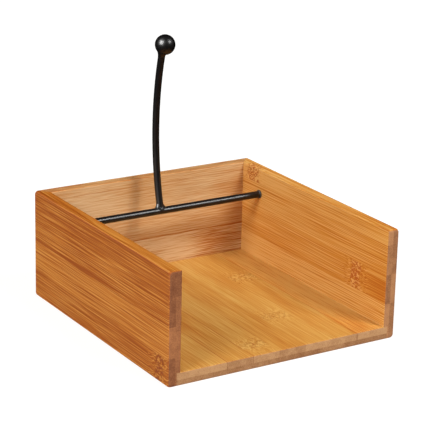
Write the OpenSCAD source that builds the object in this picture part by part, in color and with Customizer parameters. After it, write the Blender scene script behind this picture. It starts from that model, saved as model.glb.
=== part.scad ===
// Bamboo napkin tray with a swinging press arm.
// An open-fronted tray of laminated bamboo boards holds a stack of folded napkins.
// A steel rod runs across it near the back, in sleeves let into the side walls, and
// carries a curved arm with a ball, whose weight keeps the stack flat.
// Origin: middle of the tray's underside. +X right, +Y to the back wall, +Z up, in mm.

/* [Tray] */
// Outside width of the tray, from side to side
tray_w = 190; // [160:1:240]
// Outside depth of the tray, from the open front to the back
tray_d = 202; // [170:1:260]
// Height of the walls above the table
tray_h = 83.5; // [64:0.5:110]
// Thickness of the side and back wall boards
wall_t = 9.7; // [9:0.1:14]
// Thickness of the floor board
floor_t = 9.9; // [7:0.1:14]
// How deep the floor board is let into each wall
rabbet_d = 3.2; // [2:0.1:5]
// Rounding of the sanded outer edges
edge_r = 1.8; // [0.5:0.1:3]
// Rounding of the edges that face into the tray
inner_edge_r = 1.0; // [0.4:0.1:1.6]
// How far the rounder sanding of the eight outer corners reaches along their edges
corner_sand = 3.2; // [3:0.1:8]

/* [Rod and sleeves] */
// Diameter of the cross rod
rod_d = 5.5; // [4:0.1:8]
// Height from the rod's axis up to the top of the walls
rod_drop = 20; // [14:0.5:30]
// Distance from the rod's axis back to the back wall's inner face
rod_setback = 24.4; // [16:0.2:40]
// Chamfer on the rod's two ends
rod_chamfer = 0.5; // [0.2:0.1:1]
// Running clearance between rod and sleeve, on the radius
rod_clearance = 0.05; // [0.02:0.01:0.1]
// End play between the rod and the bottom of each blind hole
rod_end_play = 0.4; // [0.2:0.1:1]
// Wall of the sleeve that lines each blind hole
sleeve_wall = 0.45; // [0.4:0.05:1]
// Clearance between sleeve and blind hole, on the radius
sleeve_clearance = 0.02; // [0.01:0.01:0.05]
// Depth of the blind hole that holds the sleeve
hole_depth = 6.4; // [4:0.1:7]
// How far the sleeve stands out of the wall
sleeve_proud = 1.3; // [0.6:0.1:2.5]
// Chamfer on the sleeve's visible rim
sleeve_chamfer = 0.2; // [0.1:0.05:0.3]

/* [Press arm] */
// Diameter of the curved arm bar
arm_d = 5.4; // [4:0.1:6]
// Radius of the arm's bend, measured to its centre line
arm_bend_r = 231; // [180:1:400]
// Lean of the arm towards the back where it leaves the rod, in degrees
arm_lean = 15.9; // [5:0.1:20]
// Length along the arm from the rod's axis to the middle of the ball
arm_reach = 131.6; // [100:0.2:150]
// Place of the arm across the tray, from the middle
arm_x = -4.8; // [-20:0.1:20]
// Diameter of the ball
ball_d = 15.4; // [14:0.1:24]
// How far the ball is welded off the arm's centre line, to the right
ball_offset = 1.4; // [0:0.1:2]

/* [Welds] */
// Radius of the hollow face of the two beads between rod and arm
root_weld_r = 2.4; // [2:0.1:5]
// How far those beads stay in from the front and back of rod and arm
root_weld_inset = 0.6; // [0.5:0.1:1]
// Length of the bead between arm and ball, along the arm
neck_weld_len = 4.0; // [3:0.1:6]
// Thickness of that bead on the arm at its wide end, near the ball
neck_weld_t = 1.1; // [0.6:0.1:1.4]
// How far that bead's wide end is sunk into the ball
neck_weld_sink = 0.3; // [0.1:0.1:0.6]
// Gap left between a bead and the metal that it joins
weld_gap = 0.02; // [0.01:0.01:0.05]

/* [Hidden] */
$fn = 96;

// Length that a cutter runs past what it cuts
past = 1;
deg_per_rad = 180 / PI;

// Half sizes and inner faces of the tray
half_w = tray_w / 2;
half_d = tray_d / 2;
inner_x = half_w - wall_t;
inner_y = half_d - wall_t;

// Each corner is sanded to a piece of a sphere that just clears the rounded edges where
// it ends, so that no step is left there
sanding_clearance = 0.05;
corner_sand_r = sqrt(2) * (corner_sand - edge_r) + edge_r + sanding_clearance;

// The floor board reaches into the rabbets on three sides
floor_half_w = inner_x + rabbet_d;
floor_back_y = inner_y + rabbet_d;

// Axis of the rod, on which the arm swings
rod_y = inner_y - rod_setback;
rod_z = tray_h - rod_drop;
rod_r = rod_d / 2;
rod_half_len = inner_x + hole_depth - rod_end_play;

// The sleeve fits round the rod, and the blind hole round the sleeve
sleeve_bore_r = rod_r + rod_clearance;
sleeve_r = sleeve_bore_r + sleeve_wall;
hole_r = sleeve_r + sleeve_clearance;

// The arm is a piece of a circle that starts on the rod's axis
arm_r = arm_d / 2;
arm_sweep = arm_reach / arm_bend_r * deg_per_rad;
ball_r = ball_d / 2;

// The root beads lie inside the thinner of rod and arm, seen from the side.
// Their hollow face ends this far along the rod and up the arm.
root_weld_w = 2 * (min(arm_r, rod_r) - root_weld_inset);
root_weld_reach = arm_r + root_weld_r;
root_weld_top = rod_r + root_weld_r;

// The neck bead's wide end meets the ball on its left, and the bead lies square to the arm
// at the bead's middle. Both places are lengths along the arm, back from the ball's middle.
neck_weld_r = arm_r + neck_weld_t;
neck_weld_end = sqrt(pow(ball_r, 2) - pow(neck_weld_r + ball_offset, 2)) - neck_weld_sink;
neck_weld_mid = neck_weld_end + neck_weld_len / 2;

bamboo_wall = [0.74, 0.45, 0.20];
bamboo_floor = [0.83, 0.60, 0.31];
bamboo_back = [0.79, 0.56, 0.34];
black_steel = [0.06, 0.06, 0.07];
black_nylon = [0.14, 0.14, 0.15];

// Rounded rectangle about the origin
module rounded_rect(w, h, r) {
    square([w - 2 * r, h], center = true);
    square([w, h - 2 * r], center = true);
    for (sx = [-1, 1])
        for (sy = [-1, 1])
            translate([sx * (w / 2 - r), sy * (h / 2 - r)])
                circle(r);
}

// What sanding takes off a corner at the origin, with the tray at +x, +y, +z
module corner_waste() {
    difference() {
        translate([-past, -past, -past])
            cube(corner_sand + past);
        translate([corner_sand, corner_sand, corner_sand])
            sphere(corner_sand_r);
    }
}

// Outside of the whole tray as one block, with all its edges rounded and corners sanded.
// Every board is cut to it, so the rounding runs on from board to board.
module tray_block() {
    difference() {
        intersection() {
            linear_extrude(tray_h)
                rounded_rect(tray_w, tray_d, edge_r);
            translate([0, half_d, tray_h / 2])
                rotate([90, 0, 0])
                    linear_extrude(tray_d)
                        rounded_rect(tray_w, tray_h, edge_r);
            translate([-half_w, 0, tray_h / 2])
                rotate([90, 0, 90])
                    linear_extrude(tray_w)
                        rounded_rect(tray_d, tray_h, edge_r);
        }
        translate([0, 0, tray_h / 2])
            for (flip_x = [0, 1])
                for (flip_y = [0, 1])
                    for (flip_z = [0, 1])
                        mirror([flip_x, 0, 0])
                            mirror([0, flip_y, 0])
                                mirror([0, 0, flip_z])
                                    translate([-half_w, -half_d, -tray_h / 2])
                                        corner_waste();
    }
}

// Profile that rounds an edge with its corner at the origin and the board at -x, -y
module edge_profile(r) {
    difference() {
        translate([-r, -r])
            square(r + past);
        translate([-r, -r])
            circle(r);
    }
}

// The floor board's block, which also cuts the rabbets in the walls
module floor_block() {
    translate([-floor_half_w, -half_d, 0])
        cube([2 * floor_half_w, half_d + floor_back_y, floor_t]);
}

// Side wall on the left, with its mitred back end, rabbet and blind hole
module side_wall() {
    difference() {
        intersection() {
            tray_block();
            linear_extrude(tray_h)
                polygon([[-half_w, -half_d], [-inner_x, -half_d], [-inner_x, inner_y], [-half_w, half_d]]);
        }
        floor_block();
        // Rounding along the inner top edge
        translate([-inner_x, half_d + past, tray_h])
            rotate([90, 0, 0])
                linear_extrude(tray_d + 2 * past)
                    edge_profile(inner_edge_r);
        // Rounding down the inner front edge, as far as the floor
        translate([-inner_x, -half_d, floor_t])
            linear_extrude(tray_h)
                mirror([0, 1, 0])
                    edge_profile(inner_edge_r);
        // Blind hole for the sleeve
        translate([-inner_x - hole_depth, rod_y, rod_z])
            rotate([0, 90, 0])
                cylinder(r = hole_r, h = hole_depth + past);
    }
}

module left_wall() {
    color(bamboo_wall)
        side_wall();
}

module right_wall() {
    color(bamboo_wall)
        mirror([1, 0, 0])
            side_wall();
}

// Back wall between the two mitres
module back_wall() {
    color(bamboo_back)
        difference() {
            intersection() {
                tray_block();
                linear_extrude(tray_h)
                    polygon([[-half_w, half_d], [-inner_x, inner_y], [inner_x, inner_y], [half_w, half_d]]);
            }
            floor_block();
            // Rounding along the inner top edge
            translate([-half_w - past, inner_y, tray_h])
                rotate([90, 0, 90])
                    linear_extrude(tray_w + 2 * past)
                        mirror([1, 0, 0])
                            edge_profile(inner_edge_r);
        }
}

// Floor board, flush with the walls below and in front
module floor_board() {
    color(bamboo_floor)
        difference() {
            intersection() {
                tray_block();
                floor_block();
            }
            // Rounding along the front edge, between the side walls
            translate([-inner_x, -half_d, floor_t])
                rotate([90, 0, 90])
                    linear_extrude(2 * inner_x)
                        mirror([1, 0, 0])
                            edge_profile(inner_edge_r);
        }
}

// Thin sleeve in the left wall's blind hole, with its rim standing out of the wall
module sleeve() {
    translate([-inner_x - hole_depth, rod_y, rod_z])
        rotate([0, 90, 0])
            rotate_extrude()
                polygon([
                    [sleeve_bore_r, 0],
                    [sleeve_r, 0],
                    [sleeve_r, hole_depth + sleeve_proud - sleeve_chamfer],
                    [sleeve_r - sleeve_chamfer, hole_depth + sleeve_proud],
                    [sleeve_bore_r, hole_depth + sleeve_proud]
                ]);
}

module left_sleeve() {
    color(black_nylon)
        sleeve();
}

module right_sleeve() {
    color(black_nylon)
        mirror([1, 0, 0])
            sleeve();
}

// Straight rod from blind hole to blind hole, with chamfered ends
module cross_rod() {
    color(black_steel)
        translate([0, rod_y, rod_z])
            rotate([0, 90, 0])
                rotate_extrude()
                    polygon([
                        [0, -rod_half_len],
                        [rod_r - rod_chamfer, -rod_half_len],
                        [rod_r, -rod_half_len + rod_chamfer],
                        [rod_r, rod_half_len - rod_chamfer],
                        [rod_r - rod_chamfer, rod_half_len],
                        [0, rod_half_len]
                    ]);
}

// Puts children in the arm's plane: x to the back and y up, from the middle of its bend
module in_arm_plane() {
    translate([arm_x, rod_y - arm_bend_r * cos(arm_lean), rod_z + arm_bend_r * sin(arm_lean)])
        rotate([90, 0, 90])
            children();
}

// Bar of the arm's shape, from the rod's axis to the middle of the ball
module arm_bar(r) {
    in_arm_plane()
        rotate([0, 0, -arm_lean])
            rotate_extrude(angle = arm_sweep)
                translate([arm_bend_r, 0])
                    circle(r);
}

// The rod with a gap round it, as a cutter
module rod_cutter() {
    translate([-half_w, rod_y, rod_z])
        rotate([0, 90, 0])
            cylinder(r = rod_r + weld_gap, h = tray_w);
}

// Sphere in the ball's place
module ball_at_end(r) {
    in_arm_plane()
        rotate([0, 0, arm_sweep - arm_lean])
            translate([arm_bend_r, 0, ball_offset])
                sphere(r);
}

// Curved arm, coped to the rod at its foot and ground to the ball at its top
module press_arm() {
    color(black_steel)
        difference() {
            arm_bar(arm_r);
            rod_cutter();
            ball_at_end(ball_r + weld_gap);
        }
}

module ball_weight() {
    color(black_steel)
        ball_at_end(ball_r);
}

// Outline of one root bead with its hollow face, from the middle of rod and arm
module root_weld_profile() {
    difference() {
        square([root_weld_reach, root_weld_top]);
        translate([root_weld_reach, root_weld_top])
            circle(root_weld_r);
    }
}

// Two weld beads, in the corners left and right of the arm's foot
module root_weld() {
    color(black_steel)
        difference() {
            translate([arm_x, rod_y, rod_z])
                rotate([-arm_lean, 0, 0])
                    for (turn = [0, 180])
                        rotate([0, 0, turn])
                            translate([0, root_weld_w / 2, 0])
                                rotate([90, 0, 0])
                                    linear_extrude(root_weld_w)
                                        root_weld_profile();
            rod_cutter();
            arm_bar(arm_r + weld_gap);
        }
}

// Weld bead round the arm's top, a short cone that widens to the ball. The ball sits off the
// arm's line, so the bead stands out most on the left.
module neck_weld() {
    color(black_steel)
        difference() {
            in_arm_plane()
                rotate([0, 0, arm_sweep - arm_lean - neck_weld_mid / arm_bend_r * deg_per_rad])
                    translate([arm_bend_r, -neck_weld_len / 2, 0])
                        rotate([-90, 0, 0])
                            rotate_extrude()
                                polygon([
                                    [arm_r + weld_gap, 0],
                                    [neck_weld_r, neck_weld_len],
                                    [arm_r + weld_gap, neck_weld_len]
                                ]);
            ball_at_end(ball_r + weld_gap);
        }
}

floor_board();
left_wall();
right_wall();
back_wall();
left_sleeve();
right_sleeve();
cross_rod();
press_arm();
root_weld();
neck_weld();
ball_weight();
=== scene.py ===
from math import asin, cos, pi, radians, sin

import bmesh
import bpy
from mathutils import Matrix, Vector


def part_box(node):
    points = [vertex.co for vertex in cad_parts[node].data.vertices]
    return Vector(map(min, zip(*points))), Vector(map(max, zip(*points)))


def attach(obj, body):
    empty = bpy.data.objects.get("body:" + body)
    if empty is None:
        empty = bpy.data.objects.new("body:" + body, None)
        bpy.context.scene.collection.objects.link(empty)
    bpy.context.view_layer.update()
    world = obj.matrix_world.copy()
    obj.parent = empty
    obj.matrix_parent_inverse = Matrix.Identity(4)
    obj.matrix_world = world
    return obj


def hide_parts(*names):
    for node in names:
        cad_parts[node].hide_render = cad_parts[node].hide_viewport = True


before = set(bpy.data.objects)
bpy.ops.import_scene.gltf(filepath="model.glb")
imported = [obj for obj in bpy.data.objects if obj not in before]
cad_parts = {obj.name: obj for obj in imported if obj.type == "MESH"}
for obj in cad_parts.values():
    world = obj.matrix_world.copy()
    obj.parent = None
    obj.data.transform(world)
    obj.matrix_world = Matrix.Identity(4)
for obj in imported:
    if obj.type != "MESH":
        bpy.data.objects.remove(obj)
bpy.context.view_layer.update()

# --- Floor board ---------------------------------------------------------------------
# The floor is a board of pressed bamboo: strips about 22 mm wide lie side by side in two
# plies, glued under heat, which turns the bamboo golden. It is planed, sanded and oiled,
# and glued into shallow rabbets along the foot of the three walls.
MM = 0.001
X, Y, Z = 0, 1, 2


def linear(red, green, blue):
    """A colour as it looks on screen, 0 to 255, turned into the light values that shaders use."""
    screen = [c / 255 for c in (red, green, blue)]
    return [c / 12.92 if c <= 0.04045 else ((c + 0.055) / 1.055) ** 2.4 for c in screen] + [1.0]


def blank_material(name):
    """A new material, its node tree and its surface shader."""
    material = bpy.data.materials.new(name)
    material.use_nodes = True
    tree = material.node_tree
    return material, tree, tree.nodes["Principled BSDF"]


def put(tree, kind, *values, **settings):
    """Adds one shader node, sets its options, and feeds its inputs in order."""
    made = tree.nodes.new("ShaderNode" + kind)
    for name, value in settings.items():
        setattr(made, name, value)
    for socket, value in zip(made.inputs, values):
        feed(tree, socket, value)
    return made


def feed(tree, socket, value):
    """Sets a socket to a plain value, or runs a wire to it from another node's output."""
    if value is None:
        return
    if isinstance(value, bpy.types.NodeSocket):
        tree.links.new(value, socket)
    else:
        socket.default_value = value


def sums(tree, operation, first, second=None, third=None):
    """One step of arithmetic on single numbers."""
    return put(tree, "Math", first, second, third, operation=operation).outputs[0]


def between(tree, value, low, high, to_low=0.0, to_high=1.0):
    """Runs smoothly from to_low to to_high while the value goes from low to high."""
    made = put(tree, "MapRange", value, low, high, to_low, to_high, interpolation_type="SMOOTHSTEP")
    return made.outputs[0]


def blended(tree, share, first, second):
    """Two colours mixed, where share 0 is all of the first."""
    made = put(tree, "Mix", data_type="RGBA", blend_type="MIX")
    for name, value in (("Factor_Float", share), ("A_Color", first), ("B_Color", second)):
        feed(tree, next(s for s in made.inputs if s.identifier == name), value)
    return next(s for s in made.outputs if s.identifier == "Result_Color")


def mottle(tree, where, cell, detail=2.0, rough=0.5):
    """Smooth noise from 0 to 1, whose cells have the given size along the three axes."""
    scaled = put(tree, "VectorMath", where, [1 / c for c in cell], operation="MULTIPLY").outputs[0]
    made = put(tree, "TexNoise", scaled)
    for name, value in (("Scale", 1.0), ("Detail", detail), ("Roughness", rough)):
        made.inputs[name].default_value = value
    return made.outputs["Fac"]


def sway(tree, noise, reach, about=0.0):
    """Noise from 0 to 1 turned into a value that sways by half of reach to either side of about."""
    return sums(tree, "MULTIPLY_ADD", noise, reach, sums(tree, "SUBTRACT", about, reach / 2))


def emboss(tree, surface, height, strength, depth):
    """Makes the surface catch the light as if it were raised and sunk by the height's pattern."""
    raised = put(tree, "Bump")
    raised.inputs["Strength"].default_value = strength
    raised.inputs["Distance"].default_value = depth
    feed(tree, raised.inputs["Height"], height)
    feed(tree, surface.inputs["Normal"], raised.outputs[0])


def ply_of_strips(tree, across, low, high, strips):
    """One ply's strips from edge to edge: (where it starts, shade 0 to 1, how streaky, how much painted warm
    bounce light).
    Gives these and a number of its own to each strip, with a dark glue line between."""
    glue_line = 0.22 * MM
    glue_shade = 0.95
    spread = put(tree, "MapRange", across, low, high, 0.0, 1.0).outputs[0]
    made = put(tree, "ValToRGB", spread)
    ramp = made.color_ramp
    ramp.interpolation = "CONSTANT"
    stops = []
    for number, (start, shade, streaky, *warm_bounce) in enumerate(strips):
        own = (number * 0.37 + 0.11) % 1.0
        strip = (streaky, own, sum(warm_bounce))
        if number:
            stops.append((start - glue_line / 2, (glue_shade, *strip)))
            stops.append((start + glue_line / 2, (shade, *strip)))
        else:
            stops.append((low, (shade, *strip)))
    while len(ramp.elements) < len(stops):
        ramp.elements.new(1.0)
    for element, (place, color) in zip(ramp.elements, stops):
        element.position = max(0.0, min(1.0, (place - low) / (high - low)))
        element.color = color
    return made.outputs


def bamboo(name, grain, across, through, edges, ply_line, strips_low, strips_high, look,
           knuckles, bold_lines, figure, tone_and_painted_light_patches=(), own_number=0.0, longest=1.0):
    """Oiled pressed bamboo in the solid. The grain runs along one axis, the strips lie side by side
    across another, and the two plies are stacked through the third, on both sides of ply_line.
    knuckles: (place along the grain, from and to across it, in the high ply, strength, hooks' darkness)
    bold_lines: (place across the grain, half its width, from and to along the grain, strength)
    patches: (place along the grain, reach, place across it, reach, how much darker); most are painted shade
    where shadows fall, or painted light that lifts a shadow, a few the wood's own tone
    figure: the weights of the grain's swaths, bands, streaks, fibres and hairs
    longest: their length, as a share of the usual"""
    material, tree, surface = blank_material(name)
    solid = put(tree, "TexCoord").outputs
    where = solid["Object"]
    apart = put(tree, "SeparateXYZ", where).outputs
    normal = put(tree, "SeparateXYZ", solid["Normal"]).outputs
    facing = [sums(tree, "ABSOLUTE", part) for part in normal]
    along_v, across_v, through_v = apart[grain], apart[across], apart[through]

    def lengthwise(length, width):
        """A cell in mm, as long as length along the grain and as wide as width both ways across it."""
        return tuple(length * MM if a == grain else width * MM for a in range(3))

    in_high_ply = sums(tree, "GREATER_THAN", through_v, ply_line)
    in_low_ply = sums(tree, "SUBTRACT", 1.0, in_high_ply)
    low_ply = ply_of_strips(tree, across_v, *edges, strips_low)
    high_ply = ply_of_strips(tree, across_v, *edges, strips_high)
    strip = blended(tree, in_high_ply, low_ply["Color"], high_ply["Color"])
    shade, streaky, own = put(tree, "SeparateColor", strip).outputs
    warm_bounce = put(tree, "MapRange", in_high_ply, 0.0, 1.0, low_ply["Alpha"], high_ply["Alpha"]).outputs[0]

    # Each strip's grain is shifted by a number of its own, so that it breaks off at the glue line
    ply_number = sums(tree, "MULTIPLY_ADD", in_high_ply, 1.9, own_number)
    shift = sums(tree, "MULTIPLY_ADD", own, 3.7, ply_number)

    # Round a knuckle the fibres run wavy, and across its middle goes a row of small hooks
    row_strays = 9 * MM
    strip_fade = 1.0 * MM
    wander = mottle(tree, where, (3.4 * MM,) * 3, 1.0)
    wavy, row, pale_row = 0.0, 0.0, 0.0
    for place, from_edge, to_edge, high, strength, hooks_dark in knuckles:
        strayed = sums(tree, "MULTIPLY_ADD", wander, row_strays, -row_strays / 2 - place)
        off = sums(tree, "ABSOLUTE", sums(tree, "ADD", along_v, strayed))
        inside = sums(tree, "MULTIPLY",
                      between(tree, across_v, from_edge, from_edge + strip_fade),
                      between(tree, across_v, to_edge - strip_fade, to_edge, 1.0, 0.0))
        inside = sums(tree, "MULTIPLY", inside, in_high_ply if high else in_low_ply)
        near = sums(tree, "MULTIPLY", inside, between(tree, off, 2.0 * MM, 20.0 * MM, strength, 0.0))
        middle = sums(tree, "MULTIPLY", inside, between(tree, off, 3.5 * MM, 7.0 * MM, strength, 0.0))
        wavy = sums(tree, "MAXIMUM", wavy, near)
        row = sums(tree, "MAXIMUM", row, sums(tree, "MULTIPLY", middle, hooks_dark))
        pale_row = sums(tree, "MAXIMUM", pale_row, sums(tree, "MULTIPLY", middle, 1.0 - 0.4 * hooks_dark))

    # The point in the wood, bent a little across the grain
    bend = sway(tree, mottle(tree, where, lengthwise(150, 24), 1.0), 2.0 * MM)
    curl = sway(tree, mottle(tree, where, lengthwise(6.0, 4.0), 1.0), 8.0 * MM)
    bend = sums(tree, "MULTIPLY_ADD", wavy, curl, bend)
    shifts = [None, None, None]
    shifts[grain] = sums(tree, "MULTIPLY", shift, 0.31)
    shifts[across] = sums(tree, "MULTIPLY_ADD", shift, 0.17, bend)
    shifts[through] = sums(tree, "MULTIPLY", bend, 0.4)
    moved = put(tree, "CombineXYZ", *shifts).outputs[0]
    point = put(tree, "VectorMath", where, moved, operation="ADD").outputs[0]

    # The grain's layers, broadest first. The hairs are where two points side by side differ.
    swaths = mottle(tree, point, lengthwise(320 * longest, 7.0), 1.0)
    bands = mottle(tree, point, lengthwise(200 * longest, 3.6), 1.0)
    streaks = mottle(tree, point, lengthwise(120 * longest, 1.9), 1.0)
    fibres = mottle(tree, point, lengthwise(60 * longest, 1.1), 1.0)
    hair_cell = lengthwise(60 * longest, 0.9)
    hair_width = [0.5 * MM if a == across else 0.0 for a in range(3)]
    beside = put(tree, "VectorMath", point, hair_width, operation="ADD").outputs[0]
    hairs = sums(tree, "SUBTRACT", mottle(tree, point, hair_cell, 1.0), mottle(tree, beside, hair_cell, 1.0))
    layers = ((swaths, 0.25, 0.75), (bands, 0.25, 0.75), (streaks, 0.34, 0.66),
              (fibres, 0.38, 0.62), (hairs, -0.2, 0.2))

    # Depth of colour on the long faces, 0 palest to 1 darkest
    drift = mottle(tree, where, lengthwise(90, 16), 1.0)
    depth = sway(tree, drift, 0.7, shade)
    # Patches of deeper or paler colour: mostly painted shade where shadows fall and painted light that lifts
    # a shadow, a few the wood's own tone
    for along_at, along_reach, across_at, across_reach, darker in tone_and_painted_light_patches:
        along_off = sums(tree, "ABSOLUTE", sums(tree, "SUBTRACT", along_v, along_at))
        across_off = sums(tree, "ABSOLUTE", sums(tree, "SUBTRACT", across_v, across_at))
        lengthways = between(tree, along_off, 0.0, along_reach, darker, 0.0)
        sideways = between(tree, across_off, 0.7 * across_reach, across_reach, 1.0, 0.0)
        depth = sums(tree, "MULTIPLY_ADD", lengthways, sideways, depth)
    streaking = 0.0
    for (layer, low, high), weight in zip(layers, figure):
        streaking = sway(tree, between(tree, layer, low, high), weight, streaking)
    depth = sums(tree, "MULTIPLY_ADD", streaking, streaky, depth)

    # The narrow edges have a shade of their own, partly painted light, set lighter or darker for how the
    # lamps light the tops; the sanded roundings are duller, and painted darker where they catch the lamps:
    # painted shade
    squareness = sums(tree, "MAXIMUM", facing[through], facing[across])
    dull_and_painted_shade = between(tree, squareness, 0.80, 0.97, 0.45, 0.0)
    on_edge = between(tree, facing[across], 0.70, 0.95)
    depth = sums(tree, "MULTIPLY_ADD", dull_and_painted_shade, 0.5, depth)
    depth = sums(tree, "MULTIPLY_ADD", on_edge, look["edge_tone_and_painted_shade"], depth)

    line_fade = 25 * MM
    for place, half_width, starts, ends, strength in bold_lines:
        strayed = sums(tree, "MULTIPLY_ADD", bend, 0.4, -place)
        off = sums(tree, "ABSOLUTE", sums(tree, "ADD", across_v, strayed))
        length = sums(tree, "MULTIPLY",
                      between(tree, along_v, starts, starts + line_fade),
                      between(tree, along_v, ends - line_fade, ends, 1.0, 0.0))
        line = sums(tree, "MULTIPLY", between(tree, off, 0.0, half_width, strength, 0.0), length)
        depth = sums(tree, "ADD", depth, line)

    specks = sway(tree, mottle(tree, point, lengthwise(4.5, 1.1), 1.0, 0.7), 2.6)
    depth = sums(tree, "MULTIPLY_ADD", wavy, specks, depth)
    made = put(tree, "ValToRGB", depth)
    ramp = made.color_ramp
    ramp.elements[0].color = look["pale"]
    ramp.elements[1].color = look["streak"]
    ramp.elements.new(0.5).color = look["deep"]
    # Painted warm bounce light: some strips are tinted orange, as if lit by light thrown from the wood into
    # their shade
    warm_bounce_tint = linear(250, 142, 52)
    face = blended(tree, warm_bounce, made.outputs["Color"], warm_bounce_tint)

    # A knuckle's hooks are thin dark lines that follow one level of a noise, with pale spots beside
    squiggles = sway(tree, wander, 0.5, mottle(tree, where, lengthwise(4.0, 2.1), 1.0, 0.6))
    from_line = sums(tree, "ABSOLUTE", sums(tree, "SUBTRACT", squiggles, 0.48))
    marks = sums(tree, "MULTIPLY", between(tree, from_line, 0.035, 0.11, 1.0, 0.0), row)
    pale_spots = sums(tree, "MULTIPLY", pale_row, between(tree, squiggles, 0.50, 0.60))
    face = blended(tree, pale_spots, face, look["pale"])
    face = blended(tree, marks, face, look["hook"])

    # Colour of the cut ends, where the fibre bundles show as dots
    bundle = 0.9 * MM
    finer = put(tree, "VectorMath", where, (1 / bundle,) * 3, operation="MULTIPLY").outputs[0]
    dots = between(tree, put(tree, "TexVoronoi", finer).outputs["Distance"], 0.50, 0.20)
    grit = mottle(tree, where, (0.8 * MM,) * 3, 1.0)
    clouds = mottle(tree, where, lengthwise(3, 5), 1.0)
    end_shade = sums(tree, "MULTIPLY_ADD", sums(tree, "MINIMUM", shade, 0.72), 1.4, -0.35)
    end_depth = sums(tree, "MULTIPLY_ADD", dots, 0.4, end_shade)
    end_depth = sway(tree, grit, 0.9, end_depth)
    end_depth = sway(tree, clouds, 0.6, end_depth)
    end = blended(tree, end_depth, look["end_pale"], look["end_deep"])
    cut_across = between(tree, facing[grain], 0.50, 0.80)
    feed(tree, surface.inputs["Base Color"], blended(tree, cut_across, face, end))

    # The oil leaves a low sheen, and the grain stands in slight relief
    even_gloss = sums(tree, "ADD", dull_and_painted_shade, 0.36)
    feed(tree, surface.inputs["Roughness"], sums(tree, "MULTIPLY_ADD", streaks, 0.16, even_gloss))
    surface.inputs["Specular IOR Level"].default_value = 0.22
    relief = sums(tree, "MULTIPLY_ADD", fibres, -0.6, sums(tree, "MULTIPLY", streaks, -0.4))
    relief = sums(tree, "MULTIPLY_ADD", marks, -0.8, relief)
    emboss(tree, surface, relief, 0.35, 0.12 * MM)
    return material


def finish_with(node_name, material):
    """Gives a piece that keeps its shape its own material."""
    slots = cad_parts[node_name].data.materials
    slots.clear()
    slots.append(material)


floor_low, floor_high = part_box("floor_board")
golden = dict(pale=linear(212, 168, 92), deep=linear(196, 138, 60), streak=linear(172, 96, 30),
              hook=linear(150, 84, 30), end_pale=linear(176, 134, 92), end_deep=linear(124, 78, 44),
              edge_tone_and_painted_shade=-0.2)
bamboo_floor = bamboo(
    "bamboo_floor", grain=Y, across=X, through=Z, edges=(floor_low.x, floor_high.x), ply_line=4.6 * MM,
    strips_low=[(floor_low.x, 0.6, 0.4), (-60 * MM, 0.7, 0.4), (-38 * MM, 0.6, 0.4), (-15 * MM, 0.7, 0.4),
                (7 * MM, 0.7, 0.4), (29 * MM, 0.6, 0.4), (51 * MM, 0.75, 0.4), (73 * MM, 0.7, 0.4)],
    # The high ply's last two strips, along the right wall, carry painted warm bounce light in that wall's
    # shadow
    strips_high=[(floor_low.x, 0.35, 0.6), (-71 * MM, 0.30, 0.6), (-48.5 * MM, 0.50, 0.6),
                 (-27 * MM, 0.35, 0.5), (-5.3 * MM, 0.50, 0.5), (17 * MM, 0.30, 0.5),
                 (39.7 * MM, 0.38, 0.5), (61.5 * MM, 0.30, 1.2, 0.12), (83.5 * MM, 0.24, 1.0, 0.08)],
    look=golden,
    knuckles=[(36 * MM, 39.7 * MM, 61.5 * MM, True, 0.9, 0.3),
              (-44 * MM, 17 * MM, 39.7 * MM, True, 0.8, 0.3),
              (-83 * MM, -27 * MM, -5.3 * MM, True, 1.0, 0.35)],
    bold_lines=[(-48.5 * MM, 1.2 * MM, -40 * MM, 100 * MM, 0.7),
                (-5.3 * MM, 0.9 * MM, -95 * MM, -20 * MM, 0.5)],
    # Painted light: the first patch lightens the floor along the right wall, where that wall's shadow falls;
    # the second makes the front right corner darker again
    tone_and_painted_light_patches=[(-20 * MM, 200 * MM, 77 * MM, 11 * MM, -0.25),
             (-96 * MM, 50 * MM, 72 * MM, 16 * MM, 0.32)],
    figure=(0.2, 0.2, 0.28, 0.35, 0.75), longest=0.5)
finish_with("floor_board", bamboo_floor)

# --- Side walls ----------------------------------------------------------------------
# The two side walls are boards of the same pressed bamboo, baked a little darker, with
# the grain from front to back. Their front ends are cut square and left bare, so the two
# plies show; behind, they are mitred and glued to the back wall.
wall_low, wall_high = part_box("left_wall")
tray_half_depth = -wall_low.y
wall_edges = (0.0, wall_high.z)
caramel = dict(pale=linear(202, 136, 57), deep=linear(180, 103, 27), streak=linear(150, 72, 9),
               hook=linear(140, 66, 22), end_pale=linear(158, 102, 62), end_deep=linear(100, 54, 30),
               edge_tone_and_painted_shade=-0.4)
bamboo_left = bamboo(
    "bamboo_left_wall", grain=Y, across=Z, through=X, edges=wall_edges, ply_line=-89.8 * MM,
    strips_low=[(0.0, 0.66, 0.9), (20.8 * MM, 0.40, 0.64), (43.5 * MM, 0.66, 0.8), (65.5 * MM, 0.80, 0.75)],
    strips_high=[(0.0, 0.5, 0.4), (19.0 * MM, 0.4, 0.3), (40.5 * MM, 0.5, 0.3), (65.5 * MM, 0.75, 0.4)],
    look=caramel,
    knuckles=[(-89 * MM, 0.0, 20.5 * MM, False, 1.0, 1.0)],
    bold_lines=[(46 * MM, 2.2 * MM, -40 * MM, 120 * MM, 0.5),
                (20.3 * MM, 1.3 * MM, -20 * MM, 120 * MM, 0.35)],
    figure=(0.05, 0.06, 0.12, 0.4, 1.5), own_number=0.4)
finish_with("left_wall", bamboo_left)

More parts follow.
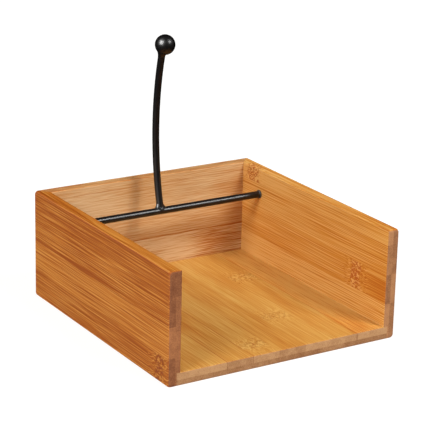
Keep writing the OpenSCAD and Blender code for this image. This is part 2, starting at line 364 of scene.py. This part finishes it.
honey = dict(pale=linear(224, 170, 96), deep=linear(206, 137, 52), streak=linear(180, 94, 14),
             hook=linear(178, 90, 32), end_pale=linear(166, 117, 76), end_deep=linear(108, 64, 38),
             edge_tone_and_painted_shade=0.13)
bamboo_right = bamboo(
    "bamboo_right_wall", grain=Y, across=Z, through=X, edges=wall_edges, ply_line=89.8 * MM,
    strips_low=[(0.0, 0.32, 0.4), (5.5 * MM, 0.28, 0.9), (27.6 * MM, 0.62, 0.5), (49.7 * MM, 0.45, 0.6),
                (71.7 * MM, 0.24, 0.5)],
    strips_high=[(0.0, 0.55, 0.6), (27.6 * MM, 0.36, 0.6), (49.7 * MM, 0.58, 0.7), (72.0 * MM, 0.58, 0.7)],
    look=honey,
    knuckles=[(-64 * MM, 27.6 * MM, 49.7 * MM, False, 1.0, 1.0),
              (75 * MM, 71.7 * MM, 95 * MM, False, 1.0, 1.0),
              (80 * MM, 71.7 * MM, 95 * MM, False, 1.0, 1.0)],
    bold_lines=[(68.5 * MM, 1.0 * MM, 10 * MM, 120 * MM, 0.6)],
    # Painted light: the first and last patches lighten the back of the wall, where less light reaches near
    # the back corner; the two at the front make it darker there
    tone_and_painted_light_patches=[(tray_half_depth, 200 * MM, 40 * MM, 60 * MM, -0.22),
             (-100 * MM, 40 * MM, 36 * MM, 10 * MM, 0.36),
             (-100 * MM, 90 * MM, 66 * MM, 8 * MM, 0.15),
             (95 * MM, 90 * MM, 14 * MM, 16 * MM, -0.35)],
    figure=(0.08, 0.1, 0.18, 0.3, 1.2), own_number=0.9)
finish_with("right_wall", bamboo_right)

# --- Back wall -----------------------------------------------------------------------
# The back wall is a third such board, paler and pinker, with the grain from side to side.
# It is glued between the two mitres.
tan = dict(pale=linear(216, 182, 138), deep=linear(196, 145, 90), streak=linear(168, 96, 40),
           hook=linear(164, 78, 28), end_pale=linear(166, 117, 76), end_deep=linear(108, 64, 38),
           edge_tone_and_painted_shade=0.24)
bamboo_back = bamboo(
    "bamboo_back_wall", grain=X, across=Z, through=Y, edges=wall_edges, ply_line=96.2 * MM,
    strips_low=[(0.0, 0.33, 0.7), (11 * MM, 0.11, 0.8), (33 * MM, 0.38, 0.45), (55 * MM, 0.37, 0.45),
                (77 * MM, 0.40, 0.4)],
    strips_high=[(0.0, 0.5, 0.7), (20 * MM, 0.3, 0.7), (42 * MM, 0.6, 0.8), (64 * MM, 0.4, 0.7)],
    look=tan,
    knuckles=[(-30 * MM, 42 * MM, 64 * MM, True, 0.9, 1.0)],
    # The bold line runs on the strip seam at 33 mm and also stands where the rod's shadow falls: partly a
    # dark seam, partly painted shadow
    bold_lines=[(33.2 * MM, 1.2 * MM, -40 * MM, 110 * MM, 0.5)],
    # Painted shade: the first two patches darken the lower right and the right end, where the right wall's
    # shadow falls, and the last darkens the edge of the left wall's shadow; the third makes the top left
    # paler
    tone_and_painted_light_patches=[(58 * MM, 34 * MM, 19 * MM, 15 * MM, 0.5),
             (88 * MM, 45 * MM, 45 * MM, 34 * MM, 0.3),
             (-50 * MM, 50 * MM, 68 * MM, 18 * MM, -0.25),
             (0.0, 18 * MM, 15 * MM, 9 * MM, 0.3)],
    figure=(0.15, 0.15, 0.2, 0.3, 0.85), own_number=1.5, longest=0.3)
finish_with("back_wall", bamboo_back)

# --- Sleeves -------------------------------------------------------------------------
# A thin moulded sleeve of black nylon is pressed into each blind hole. Its rim stands
# a little proud of the wall, and the rod turns in it.
def plain_finish(name, color, roughness, ripple, ripple_cell):
    """A plain material whose gloss and surface vary a little, as moulded or lacquered ones do."""
    gloss_varies = 0.12
    material, tree, surface = blank_material(name)
    where = put(tree, "TexCoord").outputs["Object"]
    fine = mottle(tree, where, (ripple_cell,) * 3, 3.0, 0.6)
    broad = mottle(tree, where, (ripple_cell * 18,) * 3)
    surface.inputs["Base Color"].default_value = color
    feed(tree, surface.inputs["Roughness"], sway(tree, broad, gloss_varies, roughness))
    emboss(tree, surface, fine, 0.5, ripple)
    return material


black_nylon = plain_finish("black_nylon", linear(52, 48, 45), 0.50, 0.02 * MM, 0.5 * MM)
finish_with("left_sleeve", black_nylon)
finish_with("right_sleeve", black_nylon)

# --- Cross rod -----------------------------------------------------------------------
# The cross rod is a straight round steel bar, cut to length, and lacquered black after
# the arm has been welded to it.
rod_low, rod_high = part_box("cross_rod")
rod_middle = (rod_low + rod_high) / 2
rod_radius = (rod_high.z - rod_low.z) / 2
black_steel = plain_finish("black_steel", linear(11, 9, 9), 0.34, 0.008 * MM, 0.9 * MM)
finish_with("cross_rod", black_steel)

# --- Press arm -----------------------------------------------------------------------
# The press arm is bent from round steel bar to one long curve. Its foot is notched to
# sit on the rod, and leans back a little from the upright.
arm_low, arm_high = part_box("press_arm")
arm_place = (arm_low.x + arm_high.x) / 2
arm_radius = (arm_high.x - arm_low.x) / 2
arm_lean = radians(15.9)
finish_with("press_arm", black_steel)

# --- Ball ----------------------------------------------------------------------------
# The weight is a solid steel ball, welded to the arm's end a little right of its middle.
ball_low, ball_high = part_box("ball_weight")
ball_middle = (ball_low + ball_high) / 2
ball_radius = (ball_high.z - ball_low.z) / 2
finish_with("ball_weight", black_steel)

# --- Weld beads ----------------------------------------------------------------------
# Two beads of weld hold the arm, one round its foot on the rod and one round its neck
# under the ball. They were dressed a little and then lacquered with the steel.
def bead(name, replaced, start, corner, end, core):
    """A closed ring of weld: start, corner and end each give the point at a turn round the bar,
    the bead's skin curves from start to end, drawn towards the corner, and core closes it inside.
    The skin is fuller and flatter by turns, from the single drops of weld and from the hand."""
    turns, steps = 96, 14
    drops = 23
    angles = [2 * pi * turn / turns for turn in range(turns)]
    rings = []
    for step in range(steps + 1):
        t = step / steps
        ring = []
        for angle in angles:
            a, k, b = start(angle), corner(angle), end(angle)
            fullness = 0.16 + 0.05 * sin(drops * angle) + 0.04 * sin(3 * angle + 1.0)
            k = k + (a + b - 2 * k) * fullness
            ring.append(a * (1 - t) ** 2 + k * (2 * t * (1 - t)) + b * t ** 2)
        rings.append(ring)
    rings.append([core(angle) for angle in angles])
    mesh = bmesh.new()
    made = [[mesh.verts.new(point) for point in ring] for ring in rings]
    for here, there in zip(made, made[1:] + made[:1]):
        for turn in range(turns):
            beyond = (turn + 1) % turns
            mesh.faces.new((here[turn], there[turn], there[beyond], here[beyond])).smooth = True
    bmesh.ops.recalc_face_normals(mesh, faces=mesh.faces)
    data = bpy.data.meshes.new(name)
    mesh.to_mesh(data)
    mesh.free()
    data.materials.append(black_steel)
    piece = bpy.data.objects.new(name, data)
    bpy.context.scene.collection.objects.link(piece)
    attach(piece, "arm")
    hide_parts(replaced)


sunk = 0.06 * MM
core_share = 0.6
foot = Vector((arm_place, rod_middle.y, rod_middle.z))
right = Vector((1.0, 0.0, 0.0))
up_arm = Vector((0.0, sin(arm_lean), cos(arm_lean)))
to_front = right.cross(up_arm)
foot_leg_up = 4.2 * MM
foot_leg_out = 2.0 * MM
foot_wrap = radians(24)
foot_front_dip = 0.55
foot_front_swell = 0.55 * MM


# The bead round the foot: its points at an angle round the arm, counted from the right to the front
def round_foot(angle, radius):
    return (right * cos(angle) + to_front * sin(angle)) * radius


def on_rod(out, turned, radius):
    return foot + right * out + (up_arm * cos(turned) + to_front * sin(turned)) * radius


def foot_turn(angle):
    return asin(max(-1.0, min(1.0, arm_radius * sin(angle) / rod_radius)))


def foot_start(angle):
    leg = foot_leg_up * (1 - foot_front_dip * sin(angle) ** 2)
    height = rod_radius * cos(foot_turn(angle)) + leg
    return foot + up_arm * height + round_foot(angle, arm_radius - sunk)


def foot_corner(angle):
    height = rod_radius * cos(foot_turn(angle))
    return foot + up_arm * height + round_foot(angle, arm_radius + foot_front_swell * sin(angle) ** 2)


def foot_end(angle):
    turned = foot_turn(angle) + foot_wrap * sin(angle)
    return on_rod((arm_radius + foot_leg_out) * cos(angle), turned, rod_radius - sunk)


def foot_core(angle):
    return foot + up_arm * rod_radius * core_share + round_foot(angle, arm_radius * core_share)


bead("foot_bead", "root_weld", foot_start, foot_corner, foot_end, foot_core)

neck_lean = radians(16.7)
up_neck = Vector((0.0, -sin(neck_lean), cos(neck_lean)))
neck_front = right.cross(up_neck)
neck_side = ball_middle.x - arm_place
neck_length = 2.2 * MM
neck_leg_usual = 1.25 * MM
neck_leg_varies = 0.55 * MM


# The bead round the neck: its points at an angle round the arm, counted in the same way
def round_neck(angle, radius):
    return (right * cos(angle) + neck_front * sin(angle)) * radius


def on_ball(angle, radius):
    aside = round_neck(angle, radius) - right * neck_side
    return ball_middle + aside - up_neck * (ball_radius ** 2 - aside.length_squared) ** 0.5


def neck_leg(angle):
    return neck_leg_usual - neck_leg_varies * cos(angle)


def neck_start(angle):
    down = up_neck * (neck_length + neck_leg(angle))
    return on_ball(angle, arm_radius) + round_neck(angle, -sunk) - down


def neck_corner(angle):
    return on_ball(angle, arm_radius)


def neck_end(angle):
    return on_ball(angle, arm_radius + neck_leg(angle)) + up_neck * sunk


def neck_core(angle):
    return on_ball(angle, arm_radius * core_share)


bead("neck_bead", "neck_weld", neck_start, neck_corner, neck_end, neck_core)

# --- Table and light -----------------------------------------------------------------
# A plain white table top before a far white backdrop, pale light all round, and four
# square lamps: one on the left and one on the right front light the wood and cast the
# arm's shadow, and two more shine only in the gloss.
def glowing_white(name, grey, glow):
    """A white that gives off some light of its own, and its surface shader."""
    material, _, surface = blank_material(name)
    surface.inputs["Base Color"].default_value = (grey, grey, grey, 1.0)
    surface.inputs["Emission Color"].default_value = (1.0, 1.0, 1.0, 1.0)
    surface.inputs["Emission Strength"].default_value = glow
    return material, surface


reach = 3.0
below = -0.1 * MM
corners = [(-reach, -reach, below), (reach, -reach, below), (reach, reach, below), (-reach, reach, below)]
table_mesh = bpy.data.meshes.new("table_top")
table_mesh.from_pydata(corners, [], [(0, 1, 2, 3)])
table_top = bpy.data.objects.new("table_top", table_mesh)
bpy.context.scene.collection.objects.link(table_top)
table_white, table_surface = glowing_white("table_white", 0.22, 0.84)
table_surface.inputs["Roughness"].default_value = 0.9
table_mesh.materials.append(table_white)
table_top.visible_glossy = False

backdrop_mesh = bpy.data.meshes.new("backdrop")
shell = bmesh.new()
bmesh.ops.create_icosphere(shell, subdivisions=4, radius=12.0)
shell.to_mesh(backdrop_mesh)
shell.free()
backdrop = bpy.data.objects.new("backdrop", backdrop_mesh)
bpy.context.scene.collection.objects.link(backdrop)
backdrop_white, backdrop_surface = glowing_white("backdrop_white", 0.0, 1.0)
backdrop_surface.inputs["Specular IOR Level"].default_value = 0.0
backdrop_mesh.materials.append(backdrop_white)
backdrop.visible_diffuse = False
backdrop.visible_glossy = False
backdrop.visible_shadow = False

world = bpy.data.worlds.new("pale_room")
bpy.context.scene.world = world
world.use_nodes = True
room_light = world.node_tree.nodes["Background"]
room_light.inputs["Color"].default_value = (1.0, 0.88, 0.74, 1.0)
room_light.inputs["Strength"].default_value = 0.32
world.cycles_visibility.glossy = False
bpy.context.scene.view_settings.view_transform = "Standard"


def soft_box(name, direction, size, brightness, lights_wood=True, shines=True):
    """A square lamp that hangs in a direction from the tray and faces it."""
    away = 6.0
    aimed_at = Vector((0.0, 0.0, 0.08))
    lamp = bpy.data.lights.new(name, "AREA")
    lamp.shape = "SQUARE"
    lamp.size = size
    lamp.energy = brightness
    hung = bpy.data.objects.new(name, lamp)
    bpy.context.scene.collection.objects.link(hung)
    hung.location = aimed_at + Vector(direction).normalized() * away
    hung.rotation_euler = (hung.location - aimed_at).to_track_quat("Z", "Y").to_euler()
    hung.visible_diffuse = lights_wood
    hung.visible_glossy = shines


soft_box("left_box", (-0.79, -0.28, 0.55), 2.2, 214, shines=False)
soft_box("right_box", (0.28, -0.594, 0.754), 1.8, 288, shines=False)
soft_box("left_shine", (-0.82, -0.13, 0.55), 3.8, 1150, lights_wood=False)
soft_box("right_shine", (0.48, -0.63, 0.61), 1.7, 270, lights_wood=False)

# --- Camera --------------------------------------------------------------------------
# It stands in front on the left, a little above, and sees the tray through a long lens.
lens = bpy.data.cameras.new("camera")
lens.sensor_width = 36.0
lens.lens = 151.73
camera = bpy.data.objects.new("camera", lens)
bpy.context.scene.collection.objects.link(camera)
stands_at = Matrix.Translation((-0.66838, -1.06851, 0.49863))
turned, raised_by, rolled = radians(-32.119), radians(18.409), radians(1.367)
camera.matrix_world = (stands_at @ Matrix.Rotation(turned, 4, "Z")
                       @ Matrix.Rotation(pi / 2 - raised_by, 4, "X") @ Matrix.Rotation(rolled, 4, "Z"))
bpy.context.scene.camera = camera
